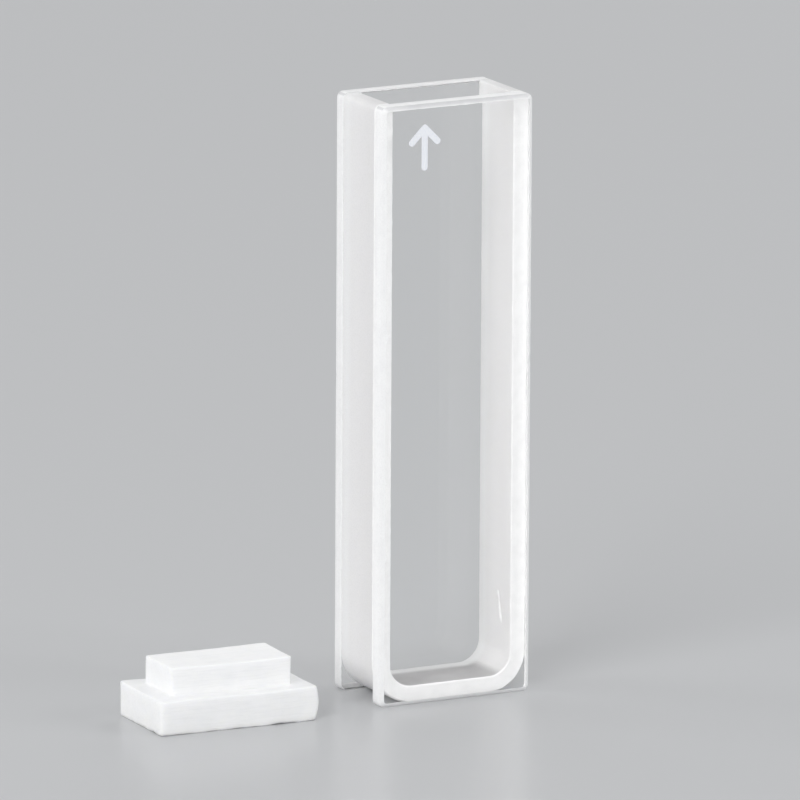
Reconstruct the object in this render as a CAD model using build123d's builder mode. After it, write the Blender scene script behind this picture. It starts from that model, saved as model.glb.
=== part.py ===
"""A rectangular glass cuvette of 5 mm light path, with its PTFE stopper lying beside it.

The cell is made of three pieces of glass: a U-shaped strip is its side walls and its floor, and
a window is fused to each open side of the strip. The stopper is one piece of PTFE, a lid with a
plug, and it lies plug upwards on the surface that the cell stands on.

+Z is up, and the origin is at the centre of the cell's base. The light path is along Y, and the
front window faces -Y. All sizes are in millimetres.
"""
from build123d import *
import os

# Cell
cell_width = 12.5
cell_height = 45.0
path_length = 5.0
window_thickness = 1.25
wall_thickness = 1.25
floor_thickness = 1.25
bend_radius = 1.75
corner_radius = 0.5
window_chamfer = 0.3
window_arris = 0.08
strip_arris = 0.08

# Stopper
lid_thickness = 2.55
plug_height = 2.1
plug_clearance = 0.15
lid_corner_radius = 0.3
plug_corner_radius = 0.25
stopper_edge_radius = 0.15

# Where the stopper lies: clear of the cell's left side, set forward and turned a little
stopper_gap = 5.6
stopper_forward = 0.75
stopper_turn = -2.5

cell_depth = path_length + 2 * window_thickness
inside_width = cell_width - 2 * wall_thickness
outer_bend_radius = bend_radius + wall_thickness
lid_width = cell_width
lid_depth = cell_depth
plug_width = inside_width - 2 * plug_clearance
plug_depth = path_length - 2 * plug_clearance
stopper_x = -(cell_width / 2 + stopper_gap + lid_width / 2)

os.makedirs("parts", exist_ok=True)

# The strip stands between the windows, so its section is drawn on the rear window's inner face
# and runs forward by the path length. The top corners of all three pieces are rounded alike.
with BuildPart() as u_frame:
    with BuildSketch(Plane.XZ.offset(-path_length / 2)) as section:
        with Locations((0, cell_height / 2)):
            Rectangle(cell_width, cell_height)
        with Locations((0, floor_thickness + cell_height / 2)):
            Rectangle(inside_width, cell_height, mode=Mode.SUBTRACT)
        inside_corners = section.vertices().group_by(Axis.Y)[1]
        fillet(inside_corners, bend_radius)
        foot_corners = section.vertices().group_by(Axis.Y)[0]
        fillet(foot_corners, outer_bend_radius)
        top_corners = section.vertices().group_by(Axis.Y)[-1].sort_by(Axis.X)
        fillet([top_corners[0], top_corners[-1]], corner_radius)
    extrude(amount=path_length)
    mouth_edges = u_frame.faces().group_by(Axis.Z)[-1].edges().filter_by(Axis.Y)
    inner_edges = mouth_edges.sort_by(lambda edge: abs(edge.center().X))[:2]
    chamfer(inner_edges, strip_arris)
u_frame.part.label = "u_frame"

# Each window covers the whole side of the cell. Its corners are rounded, its outer face has a
# ground chamfer all round, and its bonded face has a fine arris.
with BuildPart() as front_window:
    with BuildSketch(Plane.XZ.offset(path_length / 2)):
        with Locations((0, cell_height / 2)):
            RectangleRounded(cell_width, cell_height, corner_radius)
    extrude(amount=window_thickness)
    outer_face = front_window.faces().sort_by(Axis.Y)[0]
    chamfer(outer_face.edges(), window_chamfer)
    bonded_face = front_window.faces().sort_by(Axis.Y)[-1]
    chamfer(bonded_face.edges(), window_arris)
front_window.part.label = "front_window"

with BuildPart() as rear_window:
    mirror(front_window.part, about=Plane.XZ)
rear_window.part.label = "rear_window"

# The stopper stands on its lid. Its plug is a loose fit in the cell's mouth.
lid_plane = Plane(origin=(stopper_x, -stopper_forward, 0)).rotated((0, 0, stopper_turn))
plug_plane = lid_plane.offset(lid_thickness)
with BuildPart() as stopper:
    with BuildSketch(lid_plane):
        RectangleRounded(lid_width, lid_depth, lid_corner_radius)
    extrude(amount=lid_thickness)
    rims = stopper.faces().sort_by(Axis.Z)[0].edges() + stopper.faces().sort_by(Axis.Z)[-1].edges()
    fillet(rims, stopper_edge_radius)
    with BuildSketch(plug_plane):
        RectangleRounded(plug_width, plug_depth, plug_corner_radius)
    extrude(amount=plug_height)
    plug_end = stopper.faces().sort_by(Axis.Z)[-1]
    fillet(plug_end.edges(), stopper_edge_radius)
stopper.part.label = "stopper"

for piece in (front_window, rear_window, u_frame, stopper):
    export_step(piece.part, f"parts/{piece.part.label}.step")
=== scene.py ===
"""The looks of a glass cuvette and its stopper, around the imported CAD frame.

The cell's two windows and its U-shaped strip are remade here with the fine things that CAD leaves
plain: ground chamfers with an uneven inner line, arrises and the grain of ground glass. The stopper
is remade as a hand-finished block. The pieces' lengths are in millimetres until a mesh is made, and
those of the stage, the lamps and the camera are in metres.
"""
import math

import bpy
from mathutils import Matrix, Vector, noise

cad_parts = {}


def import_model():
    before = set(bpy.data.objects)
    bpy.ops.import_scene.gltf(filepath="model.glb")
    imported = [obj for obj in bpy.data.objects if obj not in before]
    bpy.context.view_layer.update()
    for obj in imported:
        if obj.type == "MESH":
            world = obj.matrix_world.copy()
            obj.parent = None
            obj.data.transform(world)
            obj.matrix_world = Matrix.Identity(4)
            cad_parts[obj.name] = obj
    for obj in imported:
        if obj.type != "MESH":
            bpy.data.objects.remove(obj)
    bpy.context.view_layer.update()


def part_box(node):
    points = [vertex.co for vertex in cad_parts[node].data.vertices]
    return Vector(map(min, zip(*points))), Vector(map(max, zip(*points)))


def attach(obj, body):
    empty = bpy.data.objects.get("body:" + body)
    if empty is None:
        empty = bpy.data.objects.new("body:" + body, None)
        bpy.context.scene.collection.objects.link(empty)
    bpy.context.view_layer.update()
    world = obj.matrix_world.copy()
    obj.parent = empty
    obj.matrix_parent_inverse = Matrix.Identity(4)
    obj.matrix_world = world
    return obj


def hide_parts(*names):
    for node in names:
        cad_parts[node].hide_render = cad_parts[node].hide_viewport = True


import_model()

MM = 0.001

# Sizes that the frame's boxes don't give, in millimetres
WALL = 1.25
BEND_RADIUS = 1.75
CORNER_RADIUS = 0.5
WINDOW_CHAMFER = 0.3
EDGE_BREAK = 0.03
EDGE_WANDER = 0.045
STRIP_ARRIS = 0.09
SEAM_GAP = 0.004
LID_HEIGHT = 2.55
LID_CORNER = 0.3
PLUG_CORNER = 0.25
PLUG_GAP = 0.15
STOPPER_RIM = 0.09
STOPPER_FOOT = 0.1

# How unevenly the stopper was cut, in millimetres, and its turn in plan
SLOW_WANDER = 0.07
FINE_WANDER = 0.018
BURR = 0.1
SWELL = 0.24
SWELL_REACH = 1.2
SWELL_MIDDLE_Z = 1.35
SWELL_HALF_HEIGHT = 1.25
STOPPER_TURN = math.radians(-2.5)

# How finely outlines are divided: along u, along v and round each corner
WINDOW_STEPS = (38, 147, 6)
STOPPER_STEPS = (50, 30, 4)

# How finely other curves and walls are divided
MOUTH_STEPS = 8
ACROSS_STEPS = 10
WALL_STEPS = 90
BEND_STEPS = 14
FLOOR_STEPS = 16
BEAD_STEPS = 14
MARK_FOOT_STEPS = 12
MARK_ARM_STEPS = 10
MARK_TIP_STEPS = 6

# Bead on the right inner wall, in millimetres, with its half width at even steps down its length
BEAD_TOP_Z = 7.22
BEAD_LENGTH = 2.45
BEAD_TOP_Y = -0.55
BEAD_LEAN = 0.5
BEAD_WANDER = 0.08
BEAD_FLATNESS = 0.55
BEAD_WIDTHS = (0.03, 0.13, 0.15, 0.11, 0.03, 0.12, 0.18, 0.19, 0.2, 0.17, 0.19, 0.2, 0.11, 0.03)

# Mark on the front window, in millimetres
MARK_X = -2.8
MARK_FOOT_Z = 40.3
MARK_STEM = 2.93
MARK_ARM = 1.05
MARK_STROKE = 0.5
MARK_THICKNESS = 0.02

DOME_COLOUR = (0.98, 0.99, 1.0, 1.0)
DOME_STRENGTH = 0.56

# Floor's half width, the distances over which it fades, and the lamps' aim, in metres
FLOOR_REACH = 3.0
FLOOR_FADE = (0.4, 1.6)
LAMP_AIM = Vector((-0.006, 0.0, 0.02))


def box_mm(node):
    low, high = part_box(node)
    return low / MM, high / MM


# ---------------------------------------------------------------- shader nodes


def new_material(name):
    material = bpy.data.materials.new(name)
    material.use_nodes = True
    tree = material.node_tree
    tree.nodes.clear()
    output = tree.nodes.new("ShaderNodeOutputMaterial")
    shader = tree.nodes.new("ShaderNodeBsdfPrincipled")
    tree.links.new(shader.outputs["BSDF"], output.inputs["Surface"])
    return material, tree, shader, output


def add_node(tree, kind, settings=None, **inputs):
    """One node, with its properties from settings and its inputs as values or sockets."""
    node = tree.nodes.new(kind)
    for key, value in (settings or {}).items():
        setattr(node, key, value)
    for key, value in inputs.items():
        socket = node.inputs[key.replace("_", " ")]
        if isinstance(value, bpy.types.NodeSocket):
            tree.links.new(value, socket)
        else:
            socket.default_value = value
    return node


def place(tree, stretch=(1.0, 1.0, 1.0)):
    """The object's own coordinates in millimetres, stretched for streaks."""
    coordinates = tree.nodes.new("ShaderNodeTexCoord")
    scale = [1 / MM * s for s in stretch]
    mapping = add_node(tree, "ShaderNodeMapping", Vector=coordinates.outputs["Object"], Scale=scale)
    return mapping.outputs["Vector"]


def grain(tree, per_mm, stretch=(1.0, 1.0, 1.0), detail=3.0, roughness=0.6):
    """Noise between 0 and 1 with per_mm lumps to the millimetre."""
    node = add_node(
        tree,
        "ShaderNodeTexNoise",
        Vector=place(tree, stretch),
        Scale=per_mm,
        Detail=detail,
        Roughness=roughness,
    )
    return node.outputs["Fac"]


def ramp(tree, value, low, high, to_low, to_high):
    node = add_node(tree, "ShaderNodeMapRange", {"interpolation_type": "SMOOTHSTEP"})
    tree.links.new(value, node.inputs["Value"])
    for key, number in zip(("From Min", "From Max", "To Min", "To Max"), (low, high, to_low, to_high)):
        node.inputs[key].default_value = number
    return node.outputs["Result"]


def blend_colours(tree, share, first, second):
    node = tree.nodes.new("ShaderNodeMix")
    node.data_type = "RGBA"
    tree.links.new(share, node.inputs["Factor"])
    for key, colour in (("A", first), ("B", second)):
        socket = [s for s in node.inputs if s.name == key and s.type == "RGBA"][0]
        if isinstance(colour, bpy.types.NodeSocket):
            tree.links.new(colour, socket)
        else:
            socket.default_value = (*colour, 1.0)
    return [s for s in node.outputs if s.type == "RGBA"][0]


def multiply(tree, first, second):
    node = tree.nodes.new("ShaderNodeMath")
    node.operation = "MULTIPLY"
    for socket, factor in zip(node.inputs, (first, second)):
        if isinstance(factor, bpy.types.NodeSocket):
            tree.links.new(factor, socket)
        else:
            socket.default_value = factor
    return node.outputs["Value"]


def speckle(tree, colour, per_mm, share, stretch=(1.0, 1.0, 1.0)):
    """The colour with fine grains in it that are up to that share darker."""
    grains = ramp(tree, grain(tree, per_mm, stretch, 4.0), 0.42, 0.68, 0.0, share)
    return blend_colours(tree, grains, colour, (0.45, 0.45, 0.46))


def add_bump(tree, shader, height, depth_mm, strength=1.0, below=None):
    node = add_node(tree, "ShaderNodeBump", Height=height, Distance=depth_mm * MM, Strength=strength)
    if below is not None:
        tree.links.new(below, node.inputs["Normal"])
    tree.links.new(node.outputs["Normal"], shader.inputs["Normal"])
    return node.outputs["Normal"]


# ---------------------------------------------------------------- materials


def let_lamps_through(tree, shader, output, share):
    """Lamps light what is behind this glass: each face passes that share of their light."""
    clear = add_node(tree, "ShaderNodeBsdfTransparent", Color=(share, share, share, 1.0))
    light_path = tree.nodes.new("ShaderNodeLightPath")
    mixed = tree.nodes.new("ShaderNodeMixShader")
    tree.links.new(light_path.outputs["Is Shadow Ray"], mixed.inputs["Fac"])
    tree.links.new(shader.outputs["BSDF"], mixed.inputs[1])
    tree.links.new(clear.outputs["BSDF"], mixed.inputs[2])
    tree.links.new(mixed.outputs["Shader"], output.inputs["Surface"])


def polished_glass():
    """Clear optical glass."""
    material, tree, shader, output = new_material("polished_glass")
    shader.inputs["Base Color"].default_value = (0.993, 0.996, 0.996, 1.0)
    shader.inputs["Roughness"].default_value = 0.0
    shader.inputs["IOR"].default_value = 1.517
    shader.inputs["Transmission Weight"].default_value = 1.0
    let_lamps_through(tree, shader, output, 0.95)
    return material


def ground_edge():
    """The windows' ground edges: near white and finely grained, with painted shade on a chamfer that
    faces up.
    """
    material, tree, shader, output = new_material("ground_edge")
    patches = ramp(tree, grain(tree, 0.6, detail=2.0), 0.35, 0.65, 0.0, 1.0)
    body = blend_colours(tree, patches, (0.93, 0.93, 0.935), (0.97, 0.97, 0.97))
    coordinates = tree.nodes.new("ShaderNodeTexCoord")
    facing = add_node(tree, "ShaderNodeSeparateXYZ", Vector=coordinates.outputs["Normal"])
    # Painted shade: a chamfer that faces up is greyed, unevenly along its length.
    sloping = ramp(tree, facing.outputs["Z"], 0.45, 0.65, 0.0, 1.0)
    not_level = ramp(tree, facing.outputs["Z"], 0.78, 0.92, 1.0, 0.0)
    shade_unevenness = ramp(tree, grain(tree, 0.8, (0.3, 1.0, 1.0)), 0.35, 0.65, 0.7, 1.0)
    painted_chamfer_shade = multiply(tree, multiply(tree, sloping, not_level), shade_unevenness)
    shaded = blend_colours(tree, painted_chamfer_shade, body, (0.64, 0.64, 0.65))
    colour = speckle(tree, shaded, 10.0, 0.1)
    tree.links.new(colour, shader.inputs["Base Color"])
    tree.links.new(ramp(tree, grain(tree, 9.0), 0.3, 0.7, 0.42, 0.6), shader.inputs["Roughness"])
    shader.inputs["IOR"].default_value = 1.5
    shader.inputs["Transmission Weight"].default_value = 0.04
    shader.inputs["Subsurface Weight"].default_value = 0.5
    shader.inputs["Subsurface Radius"].default_value = (1.0, 1.0, 1.0)
    shader.inputs["Subsurface Scale"].default_value = 1.2 * MM
    add_bump(tree, shader, grain(tree, 12.0), 0.03)
    let_lamps_through(tree, shader, output, 0.8)
    return material


def frosted_strip():
    """Ground glass of the U-shaped strip: milky, painted light paler to the rear, painted shade on the
    inner floor.
    """
    material, tree, shader, _ = new_material("frosted_strip")
    coordinates = tree.nodes.new("ShaderNodeTexCoord")
    axes = add_node(tree, "ShaderNodeSeparateXYZ", Vector=coordinates.outputs["Object"])
    across = multiply(tree, axes.outputs["Y"], 1 / MM)
    # Painted light: the strip is paler towards the rear window, as if lit through it.
    painted_rear_light = ramp(tree, across, -2.5, 1.2, 0.0, 1.0)
    body = blend_colours(tree, painted_rear_light, (0.86, 0.85, 0.85), (0.93, 0.92, 0.92))
    # Painted shade: faces low down that face up, the floor inside the U, are greyed.
    facing = add_node(tree, "ShaderNodeSeparateXYZ", Vector=coordinates.outputs["Normal"])
    low_down = ramp(tree, axes.outputs["Z"], 4.0 * MM, 2.0 * MM, 0.0, 1.0)
    upward = ramp(tree, facing.outputs["Z"], 0.78, 0.99, 0.0, 1.0)
    painted_well_shade = multiply(tree, low_down, upward)
    with_painted_well_shade = blend_colours(tree, painted_well_shade, body, (0.46, 0.45, 0.455))
    patches = ramp(tree, grain(tree, 0.35, (1.0, 1.0, 0.25), 2.0), 0.3, 0.7, 0.0, 0.2)
    patched = blend_colours(tree, patches, with_painted_well_shade, (0.96, 0.95, 0.95))
    # Painted glow: a brighter band along the strip next to the rear bonded face.
    painted_rear_glow = ramp(tree, across, 0.9, 1.8, 0.0, 1.0)
    with_painted_glow = blend_colours(tree, painted_rear_glow, patched, (0.99, 0.99, 0.99))
    colour = speckle(tree, with_painted_glow, 9.0, 0.1)
    tree.links.new(colour, shader.inputs["Base Color"])
    tree.links.new(ramp(tree, grain(tree, 8.0), 0.3, 0.7, 0.45, 0.62), shader.inputs["Roughness"])
    shader.inputs["IOR"].default_value = 1.5
    shader.inputs["Transmission Weight"].default_value = 0.15
    shader.inputs["Subsurface Weight"].default_value = 0.5
    shader.inputs["Subsurface Radius"].default_value = (1.0, 1.0, 1.05)
    shader.inputs["Subsurface Scale"].default_value = 0.8 * MM
    fine = add_bump(tree, shader, grain(tree, 11.0), 0.03)
    add_bump(tree, shader, grain(tree, 3.0, (1.0, 1.0, 0.12)), 0.02, 0.6, below=fine)
    return material


def strip_seam():
    """The strip's two bonded faces and its arrises, and the bead: an even, bright white."""
    material, tree, shader, _ = new_material("strip_seam")
    patches = ramp(tree, grain(tree, 1.2, detail=2.0), 0.3, 0.7, 0.0, 1.0)
    colour = blend_colours(tree, patches, (0.905, 0.90, 0.90), (0.95, 0.945, 0.945))
    tree.links.new(colour, shader.inputs["Base Color"])
    shader.inputs["Roughness"].default_value = 0.7
    add_bump(tree, shader, grain(tree, 14.0), 0.008)
    return material


def white_ptfe():
    """Milled PTFE: waxy white, with faint cutter lines and handling marks."""
    material, tree, shader, _ = new_material("white_ptfe")
    clouds = ramp(tree, grain(tree, 0.5, detail=4.0), 0.3, 0.7, 0.0, 1.0)
    body = blend_colours(tree, clouds, (0.91, 0.915, 0.92), (0.95, 0.95, 0.95))
    colour = speckle(tree, body, 7.0, 0.07, (0.05, 1.0, 1.0))
    tree.links.new(colour, shader.inputs["Base Color"])
    tree.links.new(ramp(tree, grain(tree, 2.5), 0.3, 0.7, 0.38, 0.55), shader.inputs["Roughness"])
    shader.inputs["IOR"].default_value = 1.35
    shader.inputs["Subsurface Weight"].default_value = 0.6
    shader.inputs["Subsurface Radius"].default_value = (1.0, 1.0, 1.1)
    shader.inputs["Subsurface Scale"].default_value = 0.7 * MM
    lines = add_bump(tree, shader, grain(tree, 7.0, (0.05, 1.0, 1.0)), 0.02, 0.8)
    add_bump(tree, shader, grain(tree, 2.5, detail=4.0), 0.015, 0.6, below=lines)
    return material


def etched_mark():
    """The mark's frosted enamel, a cool light grey."""
    material, tree, shader, _ = new_material("etched_mark")
    patches = ramp(tree, grain(tree, 9.0, detail=4.0), 0.35, 0.65, 0.0, 1.0)
    colour = blend_colours(tree, patches, (0.84, 0.87, 0.93), (0.93, 0.94, 0.97))
    tree.links.new(colour, shader.inputs["Base Color"])
    shader.inputs["Roughness"].default_value = 0.75
    add_bump(tree, shader, grain(tree, 18.0), 0.008)
    return material


def pale_floor():
    """Satin, and fading far out into the dome's own brightness, so that no horizon shows."""
    material, tree, shader, output = new_material("pale_floor")
    coordinates = tree.nodes.new("ShaderNodeTexCoord")
    distance = add_node(tree, "ShaderNodeVectorMath", {"operation": "LENGTH"})
    tree.links.new(coordinates.outputs["Object"], distance.inputs[0])
    glow = add_node(tree, "ShaderNodeEmission", Color=DOME_COLOUR, Strength=DOME_STRENGTH)
    mixed = tree.nodes.new("ShaderNodeMixShader")
    tree.links.new(ramp(tree, distance.outputs["Value"], *FLOOR_FADE, 0.0, 1.0), mixed.inputs["Fac"])
    tree.links.new(shader.outputs["BSDF"], mixed.inputs[1])
    tree.links.new(glow.outputs["Emission"], mixed.inputs[2])
    tree.links.new(mixed.outputs["Shader"], output.inputs["Surface"])
    shader.inputs["Base Color"].default_value = (0.53, 0.535, 0.545, 1.0)
    shader.inputs["Roughness"].default_value = 0.28
    return material


# ---------------------------------------------------------------- meshes


def make_piece(name, points, faces, materials, slots=None, sharp_degrees=28.0):
    """A mesh object from points in millimetres. slots gives each face its material. A face of
    more than four corners is a flat one, and stays flat in its shading."""
    mesh = bpy.data.meshes.new(name)
    mesh.from_pydata([Vector(p) * MM for p in points], [], faces)
    for material in materials:
        mesh.materials.append(material)
    if slots:
        mesh.polygons.foreach_set("material_index", slots)
    mesh.set_sharp_from_angle(angle=math.radians(sharp_degrees))
    mesh.polygons.foreach_set("use_smooth", [len(face) == 4 for face in faces])
    mesh.update()
    piece = bpy.data.objects.new(name, mesh)
    bpy.context.scene.collection.objects.link(piece)
    return piece


def bridge(first, second, count):
    """Quads between two rings of count points that start at those indices."""
    return [
        (first + i, first + (i + 1) % count, second + (i + 1) % count, second + i)
        for i in range(count)
    ]


def skin(rings, count):
    """The faces over that many rings of count points each: quads between neighbours, then a flat
    one over the first ring and one over the last."""
    faces = []
    for k in range(rings - 1):
        faces += bridge(k * count, (k + 1) * count, count)
    faces += [list(range(count))[::-1], list(range((rings - 1) * count, rings * count))]
    return faces


def arc(centre, radius, start, end, steps):
    """Points of a circular arc, both ends included. Angles are in degrees."""
    angles = [math.radians(start + (end - start) * i / steps) for i in range(steps + 1)]
    return [(centre[0] + radius * math.cos(a), centre[1] + radius * math.sin(a)) for a in angles]


def rounded_rectangle(half_u, half_v, radius, steps_u, steps_v, arc_steps):
    """A function of inset that gives the outline's points, anticlockwise from the lower right."""

    def outline(inset):
        u, v = half_u - inset, half_v - inset
        r = max(radius - inset, 0.02)
        corners = [(u - r, r - v, -90), (u - r, v - r, 0), (r - u, v - r, 90), (r - u, r - v, 180)]
        bends = [arc((cu, cv), r, start, start + 90, arc_steps) for cu, cv, start in corners]
        points = []
        for k, bend in enumerate(bends):
            steps = (steps_v, steps_u)[k % 2]
            first, last = Vector(bend[-1]), Vector(bends[(k + 1) % 4][0])
            points += bend
            points += [tuple(first.lerp(last, j / steps)) for j in range(1, steps)]
        return points

    return outline


def uneven(x, y, z, lumps_per_mm, seed):
    """Smooth noise about 0, up to about 1 either way."""
    return noise.noise(Vector((x, y, z)) * lumps_per_mm + Vector((seed, -seed, 0.5 * seed)))


def chip(x, y, z, seed):
    """How far a small chip reaches in from a ground edge, mostly nothing."""
    return max(0.0, uneven(x, y, z, 0.9, seed) - 0.42) * 0.5


def window(name, node, outwards, materials, seed):
    """A window plate. outwards is -1 for the front window and 1 for the rear one."""
    low, high = box_mm(node)
    outer, bonded = (low.y, high.y) if outwards < 0 else (high.y, low.y)
    centre_z = (low.z + high.z) / 2
    half_u, half_v = (high.x - low.x) / 2, (high.z - low.z) / 2
    outline = rounded_rectangle(half_u, half_v, CORNER_RADIUS, *WINDOW_STEPS)
    inwards = -outwards
    thickness = abs(bonded - outer) - SEAM_GAP
    # (distance from the outer face, inset, how uneven the ring is)
    sections = [
        (0.0, WINDOW_CHAMFER + EDGE_BREAK, 1.0),
        (EDGE_BREAK * 0.6, WINDOW_CHAMFER - EDGE_BREAK * 0.4, 0.6),
        (WINDOW_CHAMFER - EDGE_BREAK, EDGE_BREAK * 0.5, 0.15),
        (WINDOW_CHAMFER + EDGE_BREAK, 0.0, 0.0),
        (thickness - EDGE_BREAK * 2, 0.0, 0.0),
        (thickness - EDGE_BREAK * 0.3, EDGE_BREAK * 1.2, 0.3),
        (thickness, EDGE_BREAK * 2.2, 1.0),
    ]
    points = []
    count = len(outline(0.0))
    for depth, inset, roughness in sections:
        y = outer + inwards * depth
        for i, (u, v) in enumerate(outline(0.0)):
            wander = EDGE_WANDER * uneven(u, depth, v, 2.2, seed) + chip(u, depth, v, seed)
            reach = inset + roughness * wander
            x, z = outline(reach)[i]
            points.append((x, y, centre_z + z))
    faces = skin(len(sections), count)
    if outwards < 0:
        faces = [face[::-1] for face in faces]
    slots = [1] * (count * (len(sections) - 1)) + [0, 0]
    piece = make_piece(name, points, faces, materials, slots)
    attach(piece, "root")
    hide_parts(node)


def strip_stations(half_inside, floor_z, top_z):
    """(inner point, outward direction) down the left wall, along the floor and up the right."""
    bend_z = floor_z + BEND_RADIUS
    bend_x = half_inside - BEND_RADIUS
    stations = []
    for i in range(WALL_STEPS):
        z = top_z + (bend_z - top_z) * i / WALL_STEPS
        stations.append(((-half_inside, z), (-1.0, 0.0)))
    for x, z in arc((0.0, 0.0), 1.0, 180, 270, BEND_STEPS):
        stations.append(((-bend_x + BEND_RADIUS * x, bend_z + BEND_RADIUS * z), (x, z)))
    for i in range(1, FLOOR_STEPS):
        stations.append(((-bend_x + 2 * bend_x * i / FLOOR_STEPS, floor_z), (0.0, -1.0)))
    for x, z in arc((0.0, 0.0), 1.0, 270, 360, BEND_STEPS):
        stations.append(((bend_x + BEND_RADIUS * x, bend_z + BEND_RADIUS * z), (x, z)))
    for i in range(1, WALL_STEPS + 1):
        z = bend_z + (top_z - bend_z) * i / WALL_STEPS
        stations.append(((half_inside, z), (1.0, 0.0)))
    return stations


def strip(materials):
    """The U-shaped strip, swept along its inner line."""
    low, high = box_mm("u_frame")
    half_depth = (high.y - low.y) / 2 - SEAM_GAP
    half_inside = (high.x - low.x) / 2 - WALL
    stations = strip_stations(half_inside, low.z + WALL, high.z - CORNER_RADIUS)

    def ring(near, far, x, z):
        """(distance out from the inner face, y) round the strip's section. It runs from near to
        far, and where near isn't 0, at the mouth's arris, it is as much shorter front and back."""
        arris = STRIP_ARRIS * (1.0 + 0.5 * uneven(x, 0.0, z, 1.6, 7.0))
        front, back = near - half_depth, half_depth - near
        clear = back - front - 2 * arris
        span = [front + arris + clear * i / ACROSS_STEPS for i in range(ACROSS_STEPS + 1)]
        outer_side = [(far, y) for y in span]
        inner_side = [(near, y) for y in reversed(span)]
        return [(near + arris, front), (far - arris, front)] + outer_side + [
            (far - arris, back),
            (near + arris, back),
        ] + inner_side

    # Rows (near, far, height over the wall's last station) round the outer corner at the mouth
    mouth = []
    for k in range(MOUTH_STEPS):
        angle = math.pi / 2 * k / MOUTH_STEPS
        drop = CORNER_RADIUS * (1 - math.cos(angle))
        far = WALL - CORNER_RADIUS * (1 - math.sin(angle))
        mouth.append((max(0.0, STRIP_ARRIS - drop), far, CORNER_RADIUS - drop))
    last = len(stations) - 1
    rows = [(0, *row) for row in mouth]
    rows += [(i, 0.0, WALL, 0.0) for i in range(len(stations))]
    rows += [(last, *row) for row in reversed(mouth)]
    points = []
    for index, near, far, lift in rows:
        (x, z), (out_x, out_z) = stations[index]
        for out, y in ring(near, far, x, z + lift):
            points.append((x + out_x * out, y, z + lift + out_z * out))
    count = 2 * ACROSS_STEPS + 6
    front_faces = (0, 1, 2 * ACROSS_STEPS + 5)
    back_faces = (ACROSS_STEPS + 2, ACROSS_STEPS + 3, ACROSS_STEPS + 4)
    bright = set(front_faces + back_faces)
    faces = skin(len(rows), count)
    slots = [1 if i in bright else 0 for i in range(count)] * (len(rows) - 1) + [0, 0]
    piece = make_piece("glass_strip", points, faces, materials, slots)
    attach(piece, "root")
    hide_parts("u_frame")


def stopper(material):
    """The stopper as a block of PTFE, a little uneven from being cut by hand."""
    low, high = box_mm("stopper")
    window_low, window_high = box_mm("front_window")
    _, rear_high = box_mm("rear_window")
    strip_low, strip_high = box_mm("u_frame")
    lid_u, lid_v = (window_high.x - window_low.x) / 2, (rear_high.y - window_low.y) / 2
    plug_u, plug_v = lid_u - WALL - PLUG_GAP, (strip_high.y - strip_low.y) / 2 - PLUG_GAP
    lid = rounded_rectangle(lid_u, lid_v, LID_CORNER, *STOPPER_STEPS)
    plug = rounded_rectangle(plug_u, plug_v, PLUG_CORNER, *STOPPER_STEPS)
    edge, foot = STOPPER_RIM, STOPPER_FOOT
    lid_top, top = LID_HEIGHT, high.z - low.z

    def level(z, outline, insets):
        return [(z, outline(inset)) for inset in insets]

    def spread(start, end, steps):
        return [start + (end - start) * i / steps for i in range(steps + 1)]

    def rim(z, outline, turn):
        """The three rings of a rounded rim. turn is 1 at the top of a wall and -1 at its foot."""
        sunk = edge * (1 - math.sqrt(0.5))
        rings = [(z - turn * edge, outline(0.0)), (z - turn * sunk, outline(sunk)), (z, outline(edge))]
        return rings[::turn]

    rings = level(0.0, lid, spread(lid_v - 0.1, 2 * edge, 10))
    rings += rim(0.0, lid, -1)
    rings += [(z, lid(0.0)) for z in spread(3 * edge, lid_top - 3 * edge, 8)]
    rings += rim(lid_top, lid, 1)
    shelf_start, shelf_end = lid(2 * edge), plug(-foot)
    for share in spread(0.0, 1.0, 4):
        mixed = [tuple(Vector(a).lerp(Vector(b), share)) for a, b in zip(shelf_start, shelf_end)]
        rings.append((lid_top, mixed))
    rings += [(lid_top + 0.3 * foot, plug(-0.3 * foot)), (lid_top + foot, plug(0.0))]
    rings += [(z, plug(0.0)) for z in spread(lid_top + 2 * foot, top - 3 * edge, 6)]
    rings += rim(top, plug, 1)
    rings += level(top, plug, spread(2 * edge, plug_v - 0.1, 8))

    points = []
    for z, ring in rings:
        for u, v in ring:
            slow = [uneven(u, v, z, 0.22, 3.0 + k) * SLOW_WANDER for k in range(3)]
            fine = [uneven(u, v, z, 0.9, 13.0 + k) * FINE_WANDER for k in range(3)]
            lift = min(1.0, z / 0.5)
            right_end = max(0.0, u - lid_u + SWELL_REACH) / SWELL_REACH
            bulge = max(0.0, 1.0 - ((z - SWELL_MIDDLE_Z) / SWELL_HALF_HEIGHT) ** 2)
            swell = SWELL * right_end * bulge
            burr = BURR * max(0.0, uneven(u, v, 0.0, 1.1, 21.0)) if z < edge else 0.0
            points.append((
                u + slow[0] + fine[0] + swell,
                v + slow[1] + fine[1],
                z + (slow[2] + fine[2]) * lift + burr,
            ))
    faces = skin(len(rings), len(lid(0.0)))
    piece = make_piece("stopper_body", points, faces, [material], sharp_degrees=180.0)
    piece.data.polygons.foreach_set("use_smooth", [True] * len(faces))
    middle = (low + high) / 2
    centre = Matrix.Translation(Vector((middle.x, middle.y, low.z)) * MM)
    piece.data.transform(centre @ Matrix.Rotation(STOPPER_TURN, 4, "Z"))
    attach(piece, "root")
    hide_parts("stopper")


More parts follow.
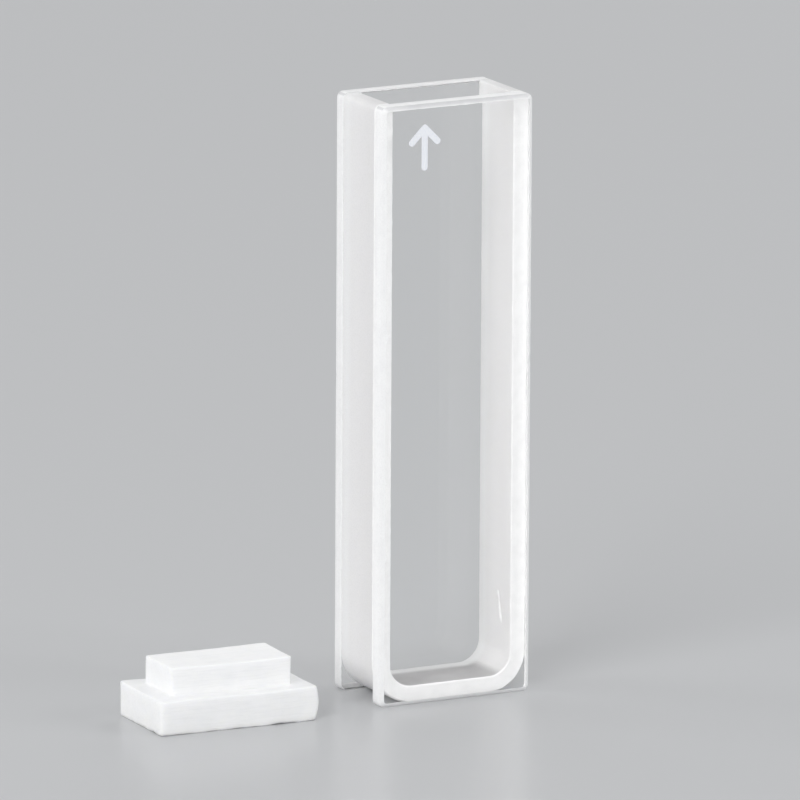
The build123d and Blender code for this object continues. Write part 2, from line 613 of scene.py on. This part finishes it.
def bead(material):
    """A narrow lumpy run, in two stretches, low on the right inner wall."""
    _, high = box_mm("u_frame")
    wall_x = high.x - WALL
    points = []
    for i, width in enumerate(BEAD_WIDTHS):
        along = i / (len(BEAD_WIDTHS) - 1)
        y = BEAD_TOP_Y - BEAD_LEAN * along + BEAD_WANDER * uneven(along, 0.0, 0.0, 3.0, 11.0)
        z = BEAD_TOP_Z - BEAD_LENGTH * along
        for k in range(BEAD_STEPS):
            turn = 2 * math.pi * k / BEAD_STEPS
            x = wall_x - BEAD_FLATNESS * width * math.cos(turn)
            points.append((x, y + width * math.sin(turn), z))
    faces = skin(len(BEAD_WIDTHS), BEAD_STEPS)
    piece = make_piece("wall_bead", points, faces, [material], sharp_degrees=60.0)
    smooth = piece.modifiers.new("smooth", "SUBSURF")
    smooth.levels = smooth.render_levels = 2
    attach(piece, "root")


def mark(material):
    """An upward arrow with round stroke ends, standing proud of the front window by a hair."""
    half = MARK_STROKE / 2
    root = math.sqrt(2.0)

    def outline(inset):
        r = half - inset
        arm_x, arm_z = MARK_ARM, MARK_STEM - MARK_ARM
        right = [(r, MARK_STEM - r * (1 + root))]
        right += arc((arm_x, arm_z), r, -135, 45, MARK_ARM_STEPS)
        left = [(-u, v) for u, v in reversed(right)]
        foot = arc((0.0, 0.0), r, 180, 360, MARK_FOOT_STEPS)
        return foot + right + arc((0.0, MARK_STEM), r, 45, 135, MARK_TIP_STEPS) + left

    low, _ = box_mm("front_window")
    face_y = low.y
    points = []
    # (share of the mark's thickness over the window's face, inset)
    sections = [(-0.3, 0.0), (0.7, 0.0), (1.0, 0.02)]
    for depth, inset in sections:
        for u, v in outline(inset):
            points.append((MARK_X + u, face_y - depth * MARK_THICKNESS, MARK_FOOT_Z + v))
    faces = skin(len(sections), len(outline(0.0)))
    piece = make_piece("direction_mark", points, faces, [material])
    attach(piece, "root")


# ---------------------------------------------------------------- stage, lamps and camera


def stage():
    r = FLOOR_REACH
    corners = [(-r, -r, 0.0), (r, -r, 0.0), (r, r, 0.0), (-r, r, 0.0)]
    mesh = bpy.data.meshes.new("floor")
    mesh.from_pydata(corners, [], [(0, 1, 2, 3)])
    mesh.materials.append(pale_floor())
    floor = bpy.data.objects.new("floor", mesh)
    bpy.context.scene.collection.objects.link(floor)


def area_lamp(name, azimuth, elevation, distance, size, level):
    """A soft lamp aimed at the cell. level is the share of a white surface's brightness it gives.
    Gloss doesn't mirror it, or on the floor it would hide the objects' reflections in some views."""
    a, e = math.radians(azimuth), math.radians(elevation)
    away = Vector((math.sin(a) * math.cos(e), -math.cos(a) * math.cos(e), math.sin(e)))
    data = bpy.data.lights.new(name, "AREA")
    data.shape = "RECTANGLE"
    data.size, data.size_y = size
    data.energy = level * math.pi**2 * distance**2
    lamp = bpy.data.objects.new(name, data)
    lamp.location = LAMP_AIM + away * distance
    lamp.rotation_euler = away.to_track_quat("Z", "Y").to_euler()
    lamp.visible_glossy = False
    bpy.context.scene.collection.objects.link(lamp)


def world():
    """An even dome, as bright as the floor looks."""
    made = bpy.data.worlds.new("studio")
    bpy.context.scene.world = made
    made.use_nodes = True
    tree = made.node_tree
    tree.nodes.clear()
    dome = add_node(tree, "ShaderNodeBackground", Color=DOME_COLOUR, Strength=DOME_STRENGTH)
    output = tree.nodes.new("ShaderNodeOutputWorld")
    tree.links.new(dome.outputs["Background"], output.inputs["Surface"])


def camera():
    """The photograph's view: from the front left, a little above, through a long lens."""
    turn, down, roll = -27.961, 12.549, 0.297
    along_its_axes = (-0.00231, 0.02135, 1.06358)
    data = bpy.data.cameras.new("camera")
    data.sensor_width = 36.0
    data.lens = 647.7
    data.clip_start = 0.01
    made = bpy.data.objects.new("camera", data)
    made.matrix_world = (
        Matrix.Rotation(math.radians(turn), 4, "Z")
        @ Matrix.Rotation(math.radians(90.0 - down), 4, "X")
        @ Matrix.Rotation(math.radians(roll), 4, "Z")
        @ Matrix.Translation(along_its_axes)
    )
    bpy.context.scene.collection.objects.link(made)
    bpy.context.scene.camera = made


# ---------------------------------------------------------------- the scene

clear, edge = polished_glass(), ground_edge()
window("front_glass", "front_window", -1, [clear, edge], 1.0)
window("rear_glass", "rear_window", 1, [clear, edge], 5.0)
seam = strip_seam()
strip([frosted_strip(), seam])
bead(seam)
stopper(white_ptfe())
mark(etched_mark())

stage()
world()
area_lamp("key", -60.0, 25.0, 0.8, (0.5, 0.5), 0.54)
area_lamp("fill", 50.0, 20.0, 0.9, (0.4, 0.6), 0.30)
area_lamp("rear_left", -130.0, 25.0, 0.8, (0.3, 0.6), 0.15)
area_lamp("rear_right", 130.0, 25.0, 0.8, (0.3, 0.6), 0.18)
camera()
bpy.context.scene.view_settings.view_transform = "Standard"

bpy.context.view_layer.update()
